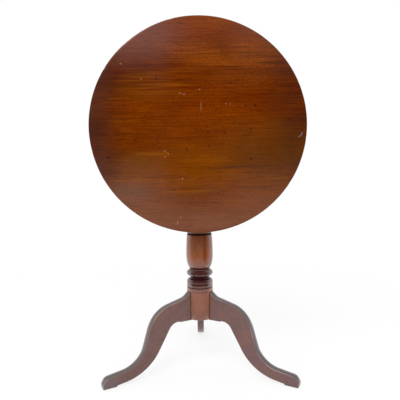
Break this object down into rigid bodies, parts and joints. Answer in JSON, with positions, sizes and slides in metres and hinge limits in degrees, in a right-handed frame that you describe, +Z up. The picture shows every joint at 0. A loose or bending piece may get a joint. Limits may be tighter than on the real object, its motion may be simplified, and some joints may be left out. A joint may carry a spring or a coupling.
{
  "type": "tripod table",
  "caption": "Round wooden occasional table whose top tilts upright on a block over a turned column with curved legs, and locks level with a spring catch.",
  "frame": {"origin": "the point on the floor below the column's axis", "axes": "+Z up along the column, -Y out of the upright top's face, +X to the right of a person who looks at that face"},
  "size_m": [0.6099, 0.4735, 1.019],
  "materials": {
    "top_wood": "polished old mahogany",
    "turned_wood": "worn polished mahogany",
    "leg_wood": "worn polished mahogany",
    "under_wood": "dry unpolished mahogany",
    "pin_wood": "dry rubbed wood",
    "iron": "dark wrought iron",
    "brass": "tarnished brass",
    "spring_steel": "blued spring steel"
  },
  "bodies": {
    "base": {"column": "turned_wood", "leg_left": "leg_wood", "leg_right": "leg_wood", "leg_rear": "leg_wood", "spider_plate": "iron", "spider_screws": "iron", "block": "under_wood", "tenon_wedge": "under_wood", "pivot_pin_left": "pin_wood", "pivot_pin_right": "pin_wood", "strike_plate": "brass", "strike_screws": "brass"},
    "top": {"top_board": "top_wood", "bearer_left": "under_wood", "bearer_right": "under_wood", "bearer_screws": "iron", "catch_case": "brass", "catch_screws": "brass", "catch_spring": "spring_steel"},
    "catch": {"catch_bolt": "brass", "catch_knob": "brass"}
  },
  "joints": [
    {"name": "top_tilt", "type": "hinge", "parent": "base", "child": "top", "pos_m": [0, -0.059, 0.6585], "axis": [-1, 0, 0], "range_deg": [0, 90]},
    {"name": "catch_slide", "type": "slide", "parent": "top", "child": "catch", "axis": [0, 0, 1], "range_m": [0, 0.007], "stiffness_N_per_m": 500, "springref_m": -0.01, "deforming": ["catch_spring"]}
  ]
}
